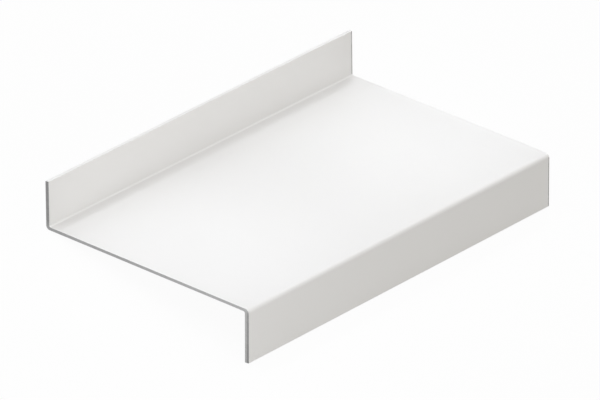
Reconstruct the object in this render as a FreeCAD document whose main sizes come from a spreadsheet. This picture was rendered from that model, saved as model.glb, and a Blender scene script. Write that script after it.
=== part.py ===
"""Outside window sill board: one length of Z-shaped section, cut off square at both ends.

The section has a deck that falls to the front, an upstand along its rear edge, which is fixed
against the window frame, and a flange along its front edge, which hangs clear of the wall and
lets the rain drip off. Deck, upstand and flange are one piece of extruded metal.

The section is drawn as it is fitted to a window: Y runs from the front to the rear, Z is up,
and the point (0, 0) is the sharp corner that the deck's top and the flange's front would make.
The board is then laid down as it lies loose on a level floor, on the toe of its flange and the
underside of its rear bend, with the origin on the floor below the middle of its box.
"""
import FreeCAD, Part
import math
import os
import Sketcher

doc = FreeCAD.newDocument("window_sill_board")

# Driving sizes, in millimetres and degrees
SIZES = [
    ("board_length", 290.0, "along the window, from one cut end to the other"),
    ("board_depth", 150.0, "level, from the flange's front to the rear bend's sharp corner"),
    ("deck_fall", 5.0, "slope of the deck, down to the front"),
    ("deck_wall", 1.9, "thickness of the deck"),
    ("upstand_height", 28.7, "upstand above the deck, at its inner corner"),
    ("upstand_wall", 2.3, "thickness of the upstand"),
    ("upstand_lean", 0.75, "how far the upstand leans back from upright"),
    ("upstand_round", 0.4, "radius of both edges along the upstand's top"),
    ("flange_drop", 33.8, "flange below the deck's sharp front corner"),
    ("flange_wall", 2.9, "thickness of the flange"),
    ("toe_round", 0.5, "radius of both edges along the flange's toe"),
    ("front_bend", 2.8, "outer radius between deck and flange"),
    ("rear_bend", 2.6, "outer radius between deck and upstand"),
    ("inner_bend", 1.2, "inner radius of both bends"),
]
sheet = doc.addObject("Spreadsheet::Sheet", "Sizes")
for row, (alias, value, meaning) in enumerate(SIZES, start=1):
    sheet.set(f"A{row}", meaning)
    sheet.set(f"B{row}", str(value))
    sheet.setAlias(f"B{row}", alias)
doc.recompute()


def size(alias):
    """The number that the sheet holds under this alias."""
    return float(sheet.get(alias))


# The board is one body, named as its file is
board = doc.addObject("PartDesign::Body", "sill_board")
board.Label = "sill_board"
across = next(plane for plane in board.Origin.OriginFeatures if plane.Role == "YZ_Plane")
section = board.newObject("Sketcher::SketchObject", "section")
section.AttachmentSupport = [(across, "")]
section.MapMode = "FlatFace"

# The section's corners in order round the outline, as first drawn: the rules below settle them
RISE = math.tan(math.radians(size("deck_fall")))
INSIDE_UPSTAND = size("board_depth") - size("upstand_wall")
TOP = INSIDE_UPSTAND * RISE + size("upstand_height")
CORNERS = {
    "toe_front": (0.0, -size("flange_drop")),
    "front_outer": (0.0, 0.0),
    "rear_inner": (INSIDE_UPSTAND, INSIDE_UPSTAND * RISE),
    "top_front": (INSIDE_UPSTAND, TOP),
    "top_back": (size("board_depth"), TOP),
    "rear_outer": (size("board_depth"), size("board_depth") * RISE - size("deck_wall")),
    "front_inner": (size("flange_wall"), size("flange_wall") * RISE - size("deck_wall")),
    "toe_back": (size("flange_wall"), -size("flange_drop")),
}
NAMES = list(CORNERS)
COUNT = len(NAMES)
# Each side of the outline is named after what it bounds, and starts at the corner of its place
(FLANGE_FRONT, DECK_TOP, UPSTAND_FRONT, UPSTAND_TOP,
 UPSTAND_BACK, DECK_UNDER, FLANGE_BACK, TOE) = range(COUNT)
# Numbers by which the sketcher knows a line's two ends and its own two axes
START, END = range(1, 3)
LEVEL_AXIS, UPRIGHT_AXIS = range(-1, -3, -1)
ORIGIN_POINT = (LEVEL_AXIS, START)


def rule(kind, *items):
    """Add a rule that has no size to the section."""
    section.addConstraint(Sketcher.Constraint(kind, *items))


def sized(alias, kind, *items):
    """Add a rule to the section, with its size taken from the sheet."""
    drawn, unit = (math.radians(size(alias)), "deg") if kind == "Angle" else (size(alias), "mm")
    index = section.addConstraint(Sketcher.Constraint(kind, *items, drawn))
    section.renameConstraint(index, alias)
    section.setExpression(f"Constraints.{alias}", f"Sizes.{alias} * 1 {unit}")


for side, name in enumerate(NAMES):
    start = FreeCAD.Vector(*CORNERS[name])
    end = FreeCAD.Vector(*CORNERS[NAMES[(side + 1) % COUNT]])
    section.addGeometry(Part.LineSegment(start, end), False)
for side in range(COUNT):
    rule("Coincident", side, END, (side + 1) % COUNT, START)
rule("Coincident", DECK_TOP, START, *ORIGIN_POINT)
for side in (FLANGE_FRONT, FLANGE_BACK):
    rule("Vertical", side)
for side in (UPSTAND_TOP, TOE):
    rule("Horizontal", side)
rule("Parallel", UPSTAND_FRONT, UPSTAND_BACK)
rule("Parallel", DECK_TOP, DECK_UNDER)
sized("flange_drop", "DistanceY", FLANGE_FRONT, START, FLANGE_FRONT, END)
sized("flange_wall", "DistanceX", TOE, END, TOE, START)
sized("deck_fall", "Angle", LEVEL_AXIS, START, DECK_TOP, START)
sized("deck_wall", "Distance", DECK_UNDER, END, DECK_TOP)
sized("board_depth", "DistanceX", DECK_TOP, START, DECK_UNDER, START)
sized("upstand_height", "DistanceY", UPSTAND_FRONT, START, UPSTAND_FRONT, END)
sized("upstand_wall", "Distance", UPSTAND_TOP, END, UPSTAND_FRONT)
sized("upstand_lean", "Angle", UPSTAND_FRONT, START, UPRIGHT_AXIS, START)

length = board.newObject("PartDesign::Pad", "length")
length.Profile = section
length.SideType = "Symmetric"
length.setExpression("Length", "Sizes.board_length")
doc.recompute()


def corner(name):
    """Where this corner of the section came to lie, as (0, Y, Z)."""
    point = section.getPoint(NAMES.index(name), START)
    return FreeCAD.Vector(0.0, point.x, point.y)


def runs_through(edge, place):
    """Whether a straight edge runs along the board through this place of the section."""
    ends = [vertex.Point for vertex in edge.Vertexes]
    return all(math.hypot(end.y - place.y, end.z - place.z) < TOUCH for end in ends)


def round_off(label, corners, radius):
    """Round the edges along these corners by a radius worked out from the sheet."""
    base = board.Tip
    places = [corner(name) for name in corners]
    edges = [
        f"Edge{number}"
        for number, edge in enumerate(base.Shape.Edges, start=1)
        if any(runs_through(edge, place) for place in places)
    ]
    fillet = board.newObject("PartDesign::Fillet", label)
    fillet.Base = (base, edges)
    fillet.setExpression("Radius", radius)
    board.Tip = fillet
    doc.recompute()
    return fillet


# How close two points count as one, and the most of a wall that a round on one edge may take
TOUCH = 0.001
ROUND_SHARE = 0.48
board.Tip = length
round_off("front_bend", ["front_outer"], "Sizes.front_bend")
rear_bend = round_off("rear_bend", ["rear_outer"], "Sizes.rear_bend")
round_off("inner_bends", ["front_inner", "rear_inner"], "Sizes.inner_bend")
toe_round = round_off(
    "toe_rounds", ["toe_front", "toe_back"], f"min(Sizes.toe_round; Sizes.flange_wall * {ROUND_SHARE})"
)
round_off(
    "top_rounds", ["top_front", "top_back"], f"min(Sizes.upstand_round; Sizes.upstand_wall * {ROUND_SHARE})"
)


def centre_of_round(name, radius):
    """Centre of the round at a corner of the section, from the two sides that meet there."""
    here = NAMES.index(name)
    place = corner(name)
    before = (corner(NAMES[here - 1]) - place).normalize()
    after = (corner(NAMES[(here + 1) % COUNT]) - place).normalize()
    half_angle = before.getAngle(after) / 2
    return place + (before + after).normalize() * (radius / math.sin(half_angle))


# The two rounds that the loose board lies on touch the floor together: the board tips rearwards
# about the flange's toe until the lowest points of both rounds are level
TOE_RADIUS = toe_round.Radius.Value
BEND_RADIUS = rear_bend.Radius.Value
span = centre_of_round("rear_outer", BEND_RADIUS) - centre_of_round("toe_back", TOE_RADIUS)
tip = math.asin((BEND_RADIUS - TOE_RADIUS) / span.Length) - math.atan2(span.z, span.y)
LENGTHWISE = FreeCAD.Vector(1.0, 0.0, 0.0)
board.Placement = FreeCAD.Placement(FreeCAD.Vector(), FreeCAD.Rotation(LENGTHWISE, math.degrees(tip)))
doc.recompute()
box = board.Shape.optimalBoundingBox(False)
board.Placement.Base = FreeCAD.Vector(-box.Center.x, -box.Center.y, -box.ZMin)
doc.recompute()

# Nothing is written from a model that has a fault
for item in doc.Objects:
    if {"Invalid", "Error"} & set(item.State):
        raise RuntimeError(f"{item.Label} could not be made: {item.State}")
if board.Shape.isNull() or not board.Shape.isValid() or len(board.Shape.Solids) != 1:
    raise RuntimeError(f"{board.Label} is not one sound solid")

os.makedirs("parts", exist_ok=True)
board.Shape.exportStep(f"parts/{board.Label}.step")

box = board.Shape.optimalBoundingBox(False)
print(f"{board.Label}: {box.XLength:.2f} x {box.YLength:.2f} x {box.ZLength:.2f} mm, "
      f"{board.Shape.Volume:.0f} mm3, tipped {math.degrees(tip):.3f} degrees, floor at {box.ZMin:.4f}")
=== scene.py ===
import math
import bpy
from mathutils import Euler, Matrix, Vector


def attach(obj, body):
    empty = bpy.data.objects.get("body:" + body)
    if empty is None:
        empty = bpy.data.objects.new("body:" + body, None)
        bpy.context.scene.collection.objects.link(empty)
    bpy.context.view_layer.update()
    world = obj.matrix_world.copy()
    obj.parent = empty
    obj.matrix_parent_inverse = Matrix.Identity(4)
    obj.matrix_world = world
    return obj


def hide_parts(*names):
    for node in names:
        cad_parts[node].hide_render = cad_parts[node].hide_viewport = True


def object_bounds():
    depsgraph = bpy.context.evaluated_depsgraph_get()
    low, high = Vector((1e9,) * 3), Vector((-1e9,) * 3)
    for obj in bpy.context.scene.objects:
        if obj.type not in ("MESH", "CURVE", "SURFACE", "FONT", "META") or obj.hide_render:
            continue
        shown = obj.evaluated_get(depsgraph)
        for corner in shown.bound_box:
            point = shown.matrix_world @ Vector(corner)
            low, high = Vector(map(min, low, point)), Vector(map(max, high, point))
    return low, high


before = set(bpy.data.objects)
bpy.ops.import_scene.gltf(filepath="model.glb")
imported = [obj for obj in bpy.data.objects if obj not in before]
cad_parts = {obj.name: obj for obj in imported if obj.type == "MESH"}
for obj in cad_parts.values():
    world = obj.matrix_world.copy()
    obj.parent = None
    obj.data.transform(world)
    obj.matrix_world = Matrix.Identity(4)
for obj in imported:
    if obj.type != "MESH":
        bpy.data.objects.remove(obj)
CAD_LOW, CAD_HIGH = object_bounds()

# The section of the board
# One length of extruded aluminium: a deck that falls to the front, an upstand that is fixed
# against the window frame, and a front flange that the rain drips off. It is drawn here as it is
# fitted to a window: Y to the rear, Z up, from the sharp corner between deck and flange.
MM = 0.001
DEPTH = 150.0 * MM
DECK_FALL = math.radians(5.0)
DECK_WALL = 1.9 * MM
UPSTAND_HEIGHT = 28.7 * MM
UPSTAND_WALL = 2.3 * MM
UPSTAND_LEAN = math.radians(0.75)
FLANGE_DROP = 33.8 * MM
FLANGE_WALL = 2.9 * MM
FRONT_BEND = 2.8 * MM
REAR_BEND = 2.6 * MM
INNER_BEND = 1.2 * MM
TOE_ROUND = 0.5 * MM
TOP_ROUND = 0.4 * MM
ROUND_STEP = math.radians(6.0)


def deck_height(y, below_top=0.0):
    """Height of the deck at this depth, or of a line that lies below its top."""
    return y * math.tan(DECK_FALL) - below_top / math.cos(DECK_FALL)


def board_corners():
    """Sharp corners of the section in order round it, each with the radius that rounds it."""
    rear_outer = Vector((DEPTH, deck_height(DEPTH, DECK_WALL)))
    up = Vector((math.sin(UPSTAND_LEAN), math.cos(UPSTAND_LEAN)))
    on_front = rear_outer + Vector((-up.y, up.x)) * UPSTAND_WALL
    climb = (deck_height(on_front.x) - on_front.y) / (up.y - up.x * math.tan(DECK_FALL))
    rear_inner = on_front + up * climb
    rise = up / up.y * UPSTAND_HEIGHT
    top_front = rear_inner + rise
    top_back = rear_outer + up / up.y * (top_front.y - rear_outer.y)
    return {
        "toe_front": (Vector((0.0, -FLANGE_DROP)), TOE_ROUND),
        "front_outer": (Vector((0.0, 0.0)), FRONT_BEND),
        "rear_inner": (rear_inner, INNER_BEND),
        "top_front": (top_front, TOP_ROUND),
        "top_back": (top_back, TOP_ROUND),
        "rear_outer": (rear_outer, REAR_BEND),
        "front_inner": (Vector((FLANGE_WALL, deck_height(FLANGE_WALL, DECK_WALL))), INNER_BEND),
        "toe_back": (Vector((FLANGE_WALL, -FLANGE_DROP)), TOE_ROUND),
    }


def round_corner(before, corner, after, radius):
    """Arc that rounds a corner: its points, the way out of the metal at each, and its centre."""
    back, on = (before - corner).normalized(), (after - corner).normalized()
    half_angle = back.angle(on) / 2
    centre = corner + (back + on).normalized() * (radius / math.sin(half_angle))
    start = corner + back * (radius / math.tan(half_angle))
    turn = on.x * back.y - on.y * back.x
    sweep = math.copysign(math.pi - 2 * half_angle, turn)
    steps = math.ceil(abs(sweep) / ROUND_STEP)
    points, outward = [], []
    for step in range(steps + 1):
        arm = Matrix.Rotation(sweep * step / steps, 2) @ (start - centre)
        points.append(centre + arm)
        outward.append(arm.normalized() * (1 if turn < 0 else -1))
    return points, outward, centre


corners = board_corners()
names = list(corners)
outline, facing, painted_bend_highlight, centres = [], [], [], {}
for here, name in enumerate(names):
    corner, radius = corners[name]
    before = corners[names[here - 1]][0]
    after = corners[names[(here + 1) % len(names)]][0]
    points, outward, centres[name] = round_corner(before, corner, after, radius)
    outline += points
    facing += outward
    # How strongly the painted highlight along an inner bend shows at each point: 1 in the bend's
    # middle, 0 at its two ends
    bend_highlight_strengths = [math.sin(math.pi * step / (len(points) - 1)) for step in range(len(points))]
    painted_bend_highlight += bend_highlight_strengths if name.endswith("_inner") else [0.0] * len(points)

# The loose board lies on its flange's toe and its rear bend, so it is tipped until the lowest
# points of those two rounds are level, and set down in the middle of the frame's box
span = centres["rear_outer"] - centres["toe_back"]
TIP = math.asin((REAR_BEND - TOE_ROUND) / span.length) - math.atan2(span.y, span.x)
laid = [Matrix.Rotation(TIP, 2) @ point for point in outline]
SHIFT = Vector((
    (CAD_LOW.y + CAD_HIGH.y - min(p.x for p in laid) - max(p.x for p in laid)) / 2,
    CAD_LOW.z - min(p.y for p in laid),
))
LAID = Matrix.Translation((0.0, SHIFT.x, SHIFT.y)) @ Matrix.Rotation(TIP, 4, "X")


# The board's metal
# The section runs straight from one sawn end to the other, with nothing let into it. The saw's
# burr has been taken off, which leaves a fine round along every edge of the two cut ends.
EDGE_ROUND = 0.15 * MM
EDGE_STEPS = 4


def ring(x, inset, lean):
    """The section at x, drawn in by inset, with its surface leaning by an angle to the end."""
    end = -1.0 if x < 0 else 1.0
    places, normals = [], []
    for point, out in zip(outline, facing):
        drawn = point - out * inset
        places.append(LAID @ Vector((x, drawn.x, drawn.y)))
        out = out * math.cos(lean)
        normals.append(LAID.to_3x3() @ Vector((end * math.sin(lean), out.x, out.y)))
    return places, normals


left_end = []
for step in range(EDGE_STEPS + 1):
    lean = math.pi / 2 * (1 - step / EDGE_STEPS)
    inwards = EDGE_ROUND * (1 - math.sin(lean))
    inset = EDGE_ROUND * (1 - math.cos(lean))
    left_end.append((CAD_LOW.x + inwards, inset, lean))
right_end = [(CAD_HIGH.x + CAD_LOW.x - x, inset, lean) for x, inset, lean in reversed(left_end)]
places, normals = [], []
for x, inset, lean in left_end + right_end:
    ring_places, ring_normals = ring(x, inset, lean)
    places += ring_places
    normals += ring_normals
around = len(outline)
rings = len(left_end) + len(right_end)
faces = [
    (row * around + here, (row + 1) * around + here,
     (row + 1) * around + (here + 1) % around, row * around + (here + 1) % around)
    for row in range(rings - 1)
    for here in range(around)
]
faces.append(tuple(range(around)))
faces.append(tuple(reversed(range((rings - 1) * around, rings * around))))
COATED_FACE, SAWN_FACE = 0, 1
metal = bpy.data.meshes.new("sill_board_metal")
metal.from_pydata(places, [], faces)
metal.validate()
for face in metal.polygons:
    face.use_smooth = True
    along = [metal.vertices[corner].co.x for corner in face.vertices]
    runs_along = max(along) - min(along) > EDGE_ROUND
    face.material_index = COATED_FACE if runs_along else SAWN_FACE
metal.normals_split_custom_set_from_vertices(normals)
# The painted highlight's strength at each point, handed on to the coat
painted_bend_highlights = metal.attributes.new("painted_bend_highlight", "FLOAT", "POINT")
painted_bend_highlights.data.foreach_set("value", painted_bend_highlight * rings)
board = bpy.data.objects.new("sill_board_metal", metal)
bpy.context.scene.collection.objects.link(board)
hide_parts("sill_board")
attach(board, "root")

# What the two finishes share
# Neither a powder coat nor a sawn face is perfectly level. One group gives a soft, blotchy tone
# and a fine relief, each at its own pitch, and the other tells where on the board a point lies,
# in metres behind the flange, above the front corner and in from the right-hand end.
TONE_DETAIL = 2.0
RELIEF_DETAIL = 1.0
grain = bpy.data.node_groups.new("unevenness", "ShaderNodeTree")
for socket in ("Tone pitch", "Relief pitch", "Stretch"):
    grain.interface.new_socket(socket, in_out="INPUT", socket_type="NodeSocketFloat")
for socket in ("Tone", "Relief"):
    grain.interface.new_socket(socket, in_out="OUTPUT", socket_type="NodeSocketFloat")
given = grain.nodes.new("NodeGroupInput")
result = grain.nodes.new("NodeGroupOutput")
place = grain.nodes.new("ShaderNodeTexCoord")
stretched = grain.nodes.new("ShaderNodeCombineXYZ")
stretched.inputs["X"].default_value = 1.0
stretched.inputs["Y"].default_value = 1.0
grain.links.new(given.outputs["Stretch"], stretched.inputs["Z"])
along = grain.nodes.new("ShaderNodeVectorMath")
along.operation = "MULTIPLY"
grain.links.new(place.outputs["Object"], along.inputs[0])
grain.links.new(stretched.outputs["Vector"], along.inputs[1])
for name, detail in (("Tone", TONE_DETAIL), ("Relief", RELIEF_DETAIL)):
    per_metre = grain.nodes.new("ShaderNodeMath")
    per_metre.operation = "DIVIDE"
    per_metre.inputs[0].default_value = 1.0
    grain.links.new(given.outputs[name + " pitch"], per_metre.inputs[1])
    cloud = grain.nodes.new("ShaderNodeTexNoise")
    cloud.inputs["Detail"].default_value = detail
    grain.links.new(along.outputs["Vector"], cloud.inputs["Vector"])
    grain.links.new(per_metre.outputs["Value"], cloud.inputs["Scale"])
    grain.links.new(cloud.outputs["Fac"], result.inputs[name])

whereabouts = bpy.data.node_groups.new("place_on_board", "ShaderNodeTree")
for socket in ("Behind", "Above", "From right", "Upright"):
    whereabouts.interface.new_socket(socket, in_out="OUTPUT", socket_type="NodeSocketFloat")
result = whereabouts.nodes.new("NodeGroupOutput")
place = whereabouts.nodes.new("ShaderNodeTexCoord")
from_corner = whereabouts.nodes.new("ShaderNodeVectorMath")
from_corner.operation = "SUBTRACT"
from_corner.inputs[1].default_value = LAID.translation
whereabouts.links.new(place.outputs["Object"], from_corner.inputs[0])
for socket, source, axis in (
    ("Behind", from_corner.outputs["Vector"], LAID.col[1]),
    ("Above", from_corner.outputs["Vector"], LAID.col[2]),
    ("Upright", place.outputs["Normal"], LAID.col[2]),
):
    share = whereabouts.nodes.new("ShaderNodeVectorMath")
    share.operation = "DOT_PRODUCT"
    share.inputs[1].default_value = axis.to_3d()
    whereabouts.links.new(source, share.inputs[0])
    whereabouts.links.new(share.outputs["Value"], result.inputs[socket])
lengthwise = whereabouts.nodes.new("ShaderNodeSeparateXYZ")
whereabouts.links.new(place.outputs["Object"], lengthwise.inputs["Vector"])
from_right = whereabouts.nodes.new("ShaderNodeMath")
from_right.operation = "SUBTRACT"
from_right.inputs[0].default_value = CAD_HIGH.x
whereabouts.links.new(lengthwise.outputs["X"], from_right.inputs[1])
whereabouts.links.new(from_right.outputs["Value"], result.inputs["From right"])


def uneven(tree, tone_pitch, relief_pitch, stretch=1.0):
    """The shared unevenness, placed in a material's own nodes with that finish's pitches."""
    node = tree.nodes.new("ShaderNodeGroup")
    node.node_tree = grain
    node.inputs["Tone pitch"].default_value = tone_pitch
    node.inputs["Relief pitch"].default_value = relief_pitch
    node.inputs["Stretch"].default_value = stretch
    return node


def on_board(tree):
    """The place on the board, in a material's own nodes."""
    node = tree.nodes.new("ShaderNodeGroup")
    node.node_tree = whereabouts
    return node


def spread(tree, source, low, high, start=0.0, end=1.0):
    """A value that runs from low to high while its source runs from start to end."""
    node = tree.nodes.new("ShaderNodeMapRange")
    node.inputs["From Min"].default_value = start
    node.inputs["From Max"].default_value = end
    node.inputs["To Min"].default_value = low
    node.inputs["To Max"].default_value = high
    tree.links.new(source, node.inputs["Value"])
    return node.outputs["Result"]


def combine(tree, operation, first, second):
    """Two values put together by one sum."""
    node = tree.nodes.new("ShaderNodeMath")
    node.operation = operation
    tree.links.new(first, node.inputs[0])
    tree.links.new(second, node.inputs[1])
    return node.outputs["Value"]


def swap(tree, mask, first, second):
    """The first value where the mask is 0, the second where it is 1."""
    node = tree.nodes.new("ShaderNodeMapRange")
    tree.links.new(mask, node.inputs["Value"])
    tree.links.new(first, node.inputs["To Min"])
    tree.links.new(second, node.inputs["To Max"])
    return node.outputs["Result"]


# A Mix node has sockets for numbers, vectors and colours under the same names: these are the
# places of the two colours and of their result
COLOUR_UNDER, COLOUR_OVER, COLOUR_RESULT = 6, 7, 2


def cover(tree, mask, under, over):
    """The colour under where the mask is 0 and the colour over where it is 1."""
    node = tree.nodes.new("ShaderNodeMix")
    node.data_type = "RGBA"
    tree.links.new(mask, node.inputs["Factor"])
    for colour, place in ((under, COLOUR_UNDER), (over, COLOUR_OVER)):
        if isinstance(colour, tuple):
            node.inputs[place].default_value = (*colour, 1.0)
        else:
            tree.links.new(colour, node.inputs[place])
    return node.outputs[COLOUR_RESULT]


def relief(tree, height, depth):
    """A fine relief of this depth in metres, as a normal."""
    node = tree.nodes.new("ShaderNodeBump")
    node.inputs["Distance"].default_value = depth
    tree.links.new(height, node.inputs["Height"])
    return node.outputs["Normal"]


# The white coat
# A polyester powder coat, sprayed on and baked: a white satin with the faint orange peel that
# powder leaves as it melts. The inner bends carry a painted highlight, a whiter base colour along
# their middles, and the colour turns grey in a fine line along the right-hand end of the upright
# faces.
COAT_LIGHT = (0.880, 0.876, 0.868)
COAT_DULL = (0.862, 0.858, 0.850)
# A whiter colour along the middle of each inner bend: a painted highlight
COAT_PAINTED_HIGHLIGHT = (0.950, 0.946, 0.938)
COAT_ROUGHNESS = (0.27, 0.33)
COAT_BLOTCH_PITCH = 60 * MM
PEEL_PITCH = 1.4 * MM
PEEL_DEPTH = 0.006 * MM
# A fine grey line along the right-hand end of the upright faces
GREY_LINE = (0.34, 0.34, 0.34)
GREY_LINE_REACH = (0.5 * MM, 1.1 * MM)
# How far a face may still look up and carry the full grey line, and how far before it carries none
GREY_LINE_FACES = (0.1, 0.3)
coat = bpy.data.materials.new("white_powder_coat")
coat.use_nodes = True
tree = coat.node_tree
skin = tree.nodes["Principled BSDF"]
peel = uneven(tree, COAT_BLOTCH_PITCH, PEEL_PITCH)
spot = on_board(tree)
# The grey line's reach from the right-hand end varies with the relief
grey_line_reach = spread(tree, peel.outputs["Relief"], *GREY_LINE_REACH)
near_end = combine(tree, "LESS_THAN", spot.outputs["From right"], grey_line_reach)
upright = spread(tree, spot.outputs["Upright"], 1.0, 0.0, *GREY_LINE_FACES)
grey_line = combine(tree, "MULTIPLY", near_end, upright)
# Where the painted highlight along the inner bends lies
bend_highlight_mask = tree.nodes.new("ShaderNodeAttribute")
bend_highlight_mask.attribute_name = "painted_bend_highlight"
white = cover(tree, peel.outputs["Tone"], COAT_DULL, COAT_LIGHT)
white = cover(tree, bend_highlight_mask.outputs["Fac"], white, COAT_PAINTED_HIGHLIGHT)
white = cover(tree, grey_line, white, GREY_LINE)
tree.links.new(white, skin.inputs["Base Color"])
tree.links.new(spread(tree, peel.outputs["Tone"], *COAT_ROUGHNESS), skin.inputs["Roughness"])
tree.links.new(relief(tree, peel.outputs["Relief"], PEEL_DEPTH), skin.inputs["Normal"])
metal.materials.append(coat)

# The sawn ends
# The ends are sawn after coating, so they show bare aluminium, dull grey, with the fine marks of
# the saw across the wall. Shading is painted into their colour: the upstand's end is darker than
# the deck's, the deck's end lighter towards the front, and the flange's end dull in the outer half
# of its wall, light in the inner half and darker towards the bottom.
SAWN_DULL = (0.26, 0.26, 0.262)
SAWN_LIGHT = (0.54, 0.54, 0.54)
SAWN_METALLIC = 0.85
SAWN_ROUGHNESS = (0.45, 0.60)
SAWN_BLOTCH_PITCH = 9 * MM
SAW_MARK_PITCH = 0.9 * MM
SAW_MARK_STRETCH = 6.0
SAW_MARK_DEPTH = 0.02 * MM
# Painted shading runs from 0 for dull to 1 for light: the deck's from front to rear, the others'
# upwards
DECK_PAINTED_SHADING = (0.95, 0.60)
UPSTAND_PAINTED_SHADING = (0.26, 0.24)
FLANGE_INNER_PAINTED_SHADING = (0.80, 1.10)
FLANGE_OUTER_PAINTED_SHADING = (0.16, 0.50)
SAWN_BLOTCHES = (-0.2, 0.2)
# Where the painted shading of one part of the ends gives way to the next, as heights above the front
# corner and as shares of a wall
UPSTAND_HEIGHTS = (16 * MM, 40 * MM)
DECK_TO_UPSTAND = (13 * MM, 16 * MM)
FLANGE_TO_DECK = (-3 * MM, -1 * MM)
OUTER_TO_INNER = (0.48 * FLANGE_WALL, 0.52 * FLANGE_WALL)
sawn = bpy.data.materials.new("sawn_aluminium")
sawn.use_nodes = True
tree = sawn.node_tree
bare = tree.nodes["Principled BSDF"]
bare.inputs["Metallic"].default_value = SAWN_METALLIC
marks = uneven(tree, SAWN_BLOTCH_PITCH, SAW_MARK_PITCH, SAW_MARK_STRETCH)
spot = on_board(tree)
behind = spot.outputs["Behind"]
above = spot.outputs["Above"]
# Painted shading across the sawn ends, by where on them a point lies
deck_painted_shading = spread(tree, behind, *DECK_PAINTED_SHADING, 0.0, DEPTH)
upstand_painted_shading = spread(tree, above, *UPSTAND_PAINTED_SHADING, *UPSTAND_HEIGHTS)
inner_painted_shading = spread(tree, above, *FLANGE_INNER_PAINTED_SHADING, -FLANGE_DROP, 0.0)
outer_painted_shading = spread(tree, above, *FLANGE_OUTER_PAINTED_SHADING, -FLANGE_DROP, 0.0)
in_inner_half = spread(tree, behind, 0.0, 1.0, *OUTER_TO_INNER)
in_flange = spread(tree, above, 1.0, 0.0, *FLANGE_TO_DECK)
in_upstand = spread(tree, above, 0.0, 1.0, *DECK_TO_UPSTAND)
flange_painted_shading = swap(tree, in_inner_half, outer_painted_shading, inner_painted_shading)
tone = swap(tree, in_flange, deck_painted_shading, flange_painted_shading)
tone = swap(tree, in_upstand, tone, upstand_painted_shading)
# Random blotches on top of the painted shading
tone = combine(tree, "ADD", tone, spread(tree, marks.outputs["Tone"], *SAWN_BLOTCHES))
tree.links.new(cover(tree, tone, SAWN_DULL, SAWN_LIGHT), bare.inputs["Base Color"])
tree.links.new(spread(tree, marks.outputs["Relief"], *SAWN_ROUGHNESS), bare.inputs["Roughness"])
tree.links.new(relief(tree, marks.outputs["Relief"], SAW_MARK_DEPTH), bare.inputs["Normal"])
metal.materials.append(sawn)

# The floor
# A pale studio floor. Seen directly it is white, and it keeps a share of the shadow that the
# board throws on it. Where it lights the board it is a plain mid grey.
FLOOR_HALF = 4.0
FLOOR_SEEN = (0.85, 0.85, 0.85)
FLOOR_LIT = (0.50, 0.50, 0.49)
WHITE_SEEN = 0.95
WHITE_REFLECTED = 0.60
floor_mesh = bpy.data.meshes.new("floor")
floor_mesh.from_pydata(
    [(x, y, 0.0) for x, y in ((-1, -1), (1, -1), (1, 1), (-1, 1))], [], [(0, 1, 2, 3)]
)
floor_mesh.transform(Matrix.Scale(FLOOR_HALF, 4))
floor = bpy.data.objects.new("floor", floor_mesh)
bpy.context.scene.collection.objects.link(floor)


def mirrored_mask(tree):
    """1 for rays that show a surface in a reflection or through glass, 0 for all others."""
    path = tree.nodes.new("ShaderNodeLightPath")
    return combine(tree, "MAXIMUM", path.outputs["Is Glossy Ray"], path.outputs["Is Transmission Ray"])


def seen_mask(tree):
    """1 for rays that show a surface to the camera directly, 0 for all others."""
    return tree.nodes.new("ShaderNodeLightPath").outputs["Is Camera Ray"]


paper = bpy.data.materials.new("studio_floor")
paper.use_nodes = True
tree = paper.node_tree
tree.nodes.clear()
matt = tree.nodes.new("ShaderNodeBsdfDiffuse")
tree.links.new(cover(tree, seen_mask(tree), FLOOR_LIT, FLOOR_SEEN), matt.inputs["Color"])
glow = tree.nodes.new("ShaderNodeEmission")
glow.inputs["Strength"].default_value = 1.0
either = tree.nodes.new("ShaderNodeMixShader")
seen_share = spread(tree, seen_mask(tree), 0.0, WHITE_SEEN)
mirrored_share = spread(tree, mirrored_mask(tree), 0.0, WHITE_REFLECTED)
tree.links.new(combine(tree, "MAXIMUM", seen_share, mirrored_share), either.inputs["Fac"])
for place, shader in ((1, matt.outputs["BSDF"]), (2, glow.outputs["Emission"])):
    tree.links.new(shader, either.inputs[place])
output = tree.nodes.new("ShaderNodeOutputMaterial")
tree.links.new(either.outputs["Shader"], output.inputs["Surface"])
floor_mesh.materials.append(paper)

# The surround
# A white studio all round, seen and mirrored as plain white. What it sheds on the board is
# weaker, and a little warmer from the front than from the rear.
WHITE = (1.0, 1.0, 1.0)
SURROUND = 0.650
FRONT_TINT = (1.045, 1.005, 0.940)
REAR_TINT = (0.975, 0.990, 1.025)
world = bpy.data.worlds.new("surround")
world.use_nodes = True
tree = world.node_tree
backdrop = tree.nodes["Background"]
shown = combine(tree, "MAXIMUM", seen_mask(tree), mirrored_mask(tree))
tree.links.new(spread(tree, shown, SURROUND, 1.0), backdrop.inputs["Strength"])
direction = tree.nodes.new("ShaderNodeTexCoord")
parts = tree.nodes.new("ShaderNodeSeparateXYZ")
tree.links.new(direction.outputs["Generated"], parts.inputs["Vector"])
rearwards = spread(tree, parts.outputs["Y"], 0.0, 1.0, -1.0, 1.0)
shed = cover(tree, rearwards, FRONT_TINT, REAR_TINT)
tree.links.new(cover(tree, shown, shed, WHITE), backdrop.inputs["Color"])
bpy.context.scene.world = world

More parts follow.
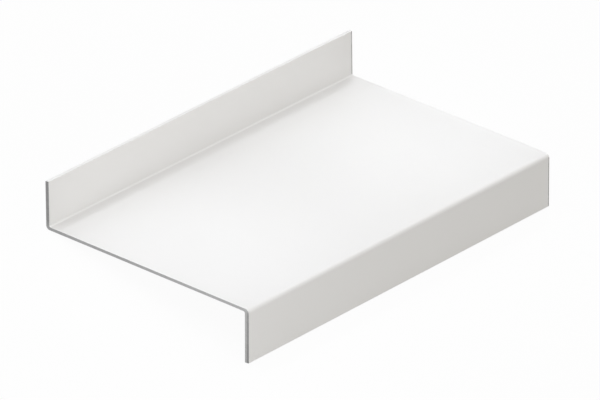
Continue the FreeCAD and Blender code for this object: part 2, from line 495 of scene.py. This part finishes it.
# The lamps
# Soft lamps stand high behind the board, low behind it and to its right and left. Four narrow
# spots among them lay two soft pools of light on the deck and leave the upstand's foot in shade.
LAMP_TINT = (0.968, 0.992, 1.030)
MIDDLE = Vector((0.0, 0.0, 0.02))
LEFT_HALF = Vector((-0.1, 0.0, 0.02))
REAR_FOOT = Vector((0.0, 0.072, 0.004))
HIGH_BEHIND = Vector((0.0, 0.455, 0.890))
LOW_BEHIND = Vector((0.0, 0.75, 0.66))
HIGH_RIGHT = Vector((0.936, 0.013, 0.897))
LOW_LEFT = Vector((-0.55, -0.30, 0.15))
HIGH_ASIDE = Vector((0.5, 0.0, 0.0))
SPOT_SHARE_OF_HEIGHT = 0.7
SPOT_AIM_DEPTH = 62 * MM
SPOT_CONE = math.radians(12.5)
SPOT_RADIUS = 0.095


def lamp(name, kind, place, aim, watts, **shape):
    """A lamp at a place, turned to a point, that isn't seen itself. A spot isn't mirrored either."""
    light = bpy.data.lights.new(name, kind)
    light.energy = watts
    light.color = LAMP_TINT
    for setting, value in shape.items():
        setattr(light, setting, value)
    holder = bpy.data.objects.new(name, light)
    holder.location = place
    holder.rotation_euler = (aim - place).to_track_quat("-Z", "Y").to_euler()
    holder.visible_camera = False
    holder.visible_glossy = kind != "SPOT"
    bpy.context.scene.collection.objects.link(holder)


# Each spot: the place along the board that it lights, how far it stands aside, and its watts
for name, along, aside, watts in (
    ("pool_left", -0.12, 0.0, 8.5),
    ("pool_middle", 0.0, 0.0, 4.7),
    ("slant_left", -0.12, -0.35, 3.1),
    ("slant_right", 0.12, 0.35, 12.8),
):
    aim = LAID @ Vector((along, SPOT_AIM_DEPTH, deck_height(SPOT_AIM_DEPTH)))
    place = REAR_FOOT + Vector((along + aside, 0.0, 0.0)) + HIGH_BEHIND * SPOT_SHARE_OF_HEIGHT
    lamp(name, "SPOT", place, aim, watts,
         spot_size=SPOT_CONE, spot_blend=1.0, shadow_soft_size=SPOT_RADIUS)

# Each soft lamp: where it stands, the point it is turned to, its watts and its side
for name, place, aim, watts, side in (
    ("high_left", REAR_FOOT + HIGH_BEHIND - HIGH_ASIDE, MIDDLE, 1.05, 0.3),
    ("high_right", REAR_FOOT + HIGH_BEHIND + HIGH_ASIDE, MIDDLE, 0.50, 0.3),
    ("low", REAR_FOOT + LOW_BEHIND, MIDDLE, 0.72, 0.35),
    ("right", MIDDLE + HIGH_RIGHT, MIDDLE, 1.28, 0.4),
    ("left", LOW_LEFT, LEFT_HALF, 0.64, 0.2),
):
    lamp(name, "AREA", place, aim, watts, size=side)

# The camera
# It looks at the board from in front of its left end, from far away through a long lens. Its
# angles and aim are given about the board as fitted, and laid down with it.
CAMERA_AZIMUTH = math.radians(-52.177)
CAMERA_ELEVATION = math.radians(23.394)
CAMERA_DISTANCE = 7.271
CAMERA_AIM = Vector((-7.97, 68.88, 4.29)) * MM
CAMERA_LENS = 741.59
CAMERA_REACH = 100.0
turned = Euler((math.pi / 2 - CAMERA_ELEVATION, 0.0, CAMERA_AZIMUTH)).to_matrix().to_4x4()
away = turned @ Matrix.Translation((0.0, 0.0, CAMERA_DISTANCE))
view = bpy.data.cameras.new("camera")
view.lens = CAMERA_LENS
view.clip_end = CAMERA_REACH
camera = bpy.data.objects.new("camera", view)
camera.matrix_world = LAID @ Matrix.Translation(CAMERA_AIM) @ away
bpy.context.scene.collection.objects.link(camera)
bpy.context.scene.camera = camera
bpy.context.scene.view_settings.view_transform = "Standard"
